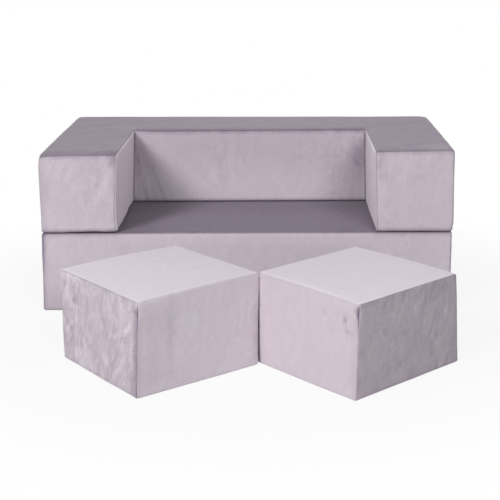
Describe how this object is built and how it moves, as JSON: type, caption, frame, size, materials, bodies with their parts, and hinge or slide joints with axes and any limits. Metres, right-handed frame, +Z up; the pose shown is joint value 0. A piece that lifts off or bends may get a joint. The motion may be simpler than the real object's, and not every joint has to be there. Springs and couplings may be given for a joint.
{
  "type": "childrens sofa",
  "caption": "Low foam play sofa in plush velvet: a base block, a U-shaped backrest with arms that folds over behind it, and loose square poufs.",
  "frame": {"origin": "on the floor, under the middle of the base block", "axes": "+X to the right as seen from the front, +Y to the back of the sofa, +Z up"},
  "size_m": [1.064, 1.1889, 0.4153],
  "materials": {
    "velvet": "short-pile velvet, mauve grey",
    "foam": "open-cell polyurethane foam",
    "zip_tape": "woven tape",
    "zip_teeth": "nylon coil",
    "zip_metal": "lacquered die casting",
    "hinge_webbing": "sewn cloth band"
  },
  "bodies": {
    "base": {"base_foam": "foam", "base_cover_wrap": "velvet", "base_cover_left_end": "velvet", "base_cover_right_end": "velvet", "base_zip_tapes": "zip_tape", "base_zip_rows": "zip_teeth", "base_zip_stops": "zip_metal", "hinge_band_lower": "hinge_webbing"},
    "base_zip_slider": {"base_zip_slider": "zip_metal"},
    "base_zip_pull": {"base_zip_pull": "zip_metal"},
    "backrest": {"backrest_back_foam": "foam", "backrest_left_arm_foam": "foam", "backrest_right_arm_foam": "foam", "backrest_cover_top": "velvet", "backrest_cover_underside": "velvet", "backrest_cover_left_arm_front": "velvet", "backrest_cover_left_arm_inside": "velvet", "backrest_cover_back_inside": "velvet", "backrest_cover_right_arm_inside": "velvet", "backrest_cover_right_arm_front": "velvet", "backrest_cover_right_outside": "velvet", "backrest_cover_back_outside": "velvet", "backrest_cover_left_outside": "velvet", "backrest_zip_tapes": "zip_tape", "backrest_zip_rows": "zip_teeth", "backrest_zip_stops": "zip_metal", "hinge_band_upper": "hinge_webbing"},
    "backrest_zip_slider": {"backrest_zip_slider": "zip_metal"},
    "backrest_zip_pull": {"backrest_zip_pull": "zip_metal"},
    "left_pouf": {"left_pouf_foam": "foam", "left_pouf_cover_wrap": "velvet", "left_pouf_cover_left_end": "velvet", "left_pouf_cover_right_end": "velvet", "left_pouf_zip_tapes": "zip_tape", "left_pouf_zip_rows": "zip_teeth", "left_pouf_zip_stops": "zip_metal"},
    "left_pouf_zip_slider": {"left_pouf_zip_slider": "zip_metal"},
    "left_pouf_zip_pull": {"left_pouf_zip_pull": "zip_metal"},
    "right_pouf": {"right_pouf_foam": "foam", "right_pouf_cover_wrap": "velvet", "right_pouf_cover_left_end": "velvet", "right_pouf_cover_right_end": "velvet", "right_pouf_zip_tapes": "zip_tape", "right_pouf_zip_rows": "zip_teeth", "right_pouf_zip_stops": "zip_metal"},
    "right_pouf_zip_slider": {"right_pouf_zip_slider": "zip_metal"},
    "right_pouf_zip_pull": {"right_pouf_zip_pull": "zip_metal"}
  },
  "joints": [
    {"name": "backrest_fold", "type": "hinge", "parent": "base", "child": "backrest", "pos_m": [0, 0.3022, 0.21015], "axis": [-1, 0, 0], "range_deg": [0, 180]},
    {"name": "base_zip_slide", "type": "slide", "parent": "base", "child": "base_zip_slider", "axis": [-1, 0, 0], "range_m": [0, 0.8794]},
    {"name": "base_zip_pull_flip", "type": "hinge", "parent": "base_zip_slider", "child": "base_zip_pull", "pos_m": [0.4397, 0.3021, 0.07], "axis": [0, 0, -1], "range_deg": [0, 180]},
    {"name": "backrest_zip_slide", "type": "slide", "parent": "backrest", "child": "backrest_zip_slider", "axis": [-1, 0, 0], "range_m": [0, 0.8794]},
    {"name": "backrest_zip_pull_flip", "type": "hinge", "parent": "backrest_zip_slider", "child": "backrest_zip_pull", "pos_m": [0.4397, 0.3021, 0.2803], "axis": [0, 0, -1], "range_deg": [0, 180]},
    {"name": "left_pouf_lift", "type": "slide", "parent": "base", "child": "left_pouf", "axis": [0, 0, 1], "range_m": [0, 0.25]},
    {"name": "left_pouf_zip_slide", "type": "slide", "parent": "left_pouf", "child": "left_pouf_zip_slider", "axis": [-0.7727, -0.6347, 0], "range_m": [0, 0.2294]},
    {"name": "left_pouf_zip_pull_flip", "type": "hinge", "parent": "left_pouf_zip_slider", "child": "left_pouf_zip_pull", "pos_m": [-0.20449, -0.45594, 0.07], "axis": [0, 0, -1], "range_deg": [0, 180]},
    {"name": "right_pouf_lift", "type": "slide", "parent": "base", "child": "right_pouf", "axis": [0, 0, 1], "range_m": [0, 0.25]},
    {"name": "right_pouf_zip_slide", "type": "slide", "parent": "right_pouf", "child": "right_pouf_zip_slider", "axis": [-0.6807, 0.7325, 0], "range_m": [0, 0.2294]},
    {"name": "right_pouf_zip_pull_flip", "type": "hinge", "parent": "right_pouf_zip_slider", "child": "right_pouf_zip_pull", "pos_m": [0.46209, -0.63334, 0.07], "axis": [0, 0, -1], "range_deg": [0, 180]}
  ]
}
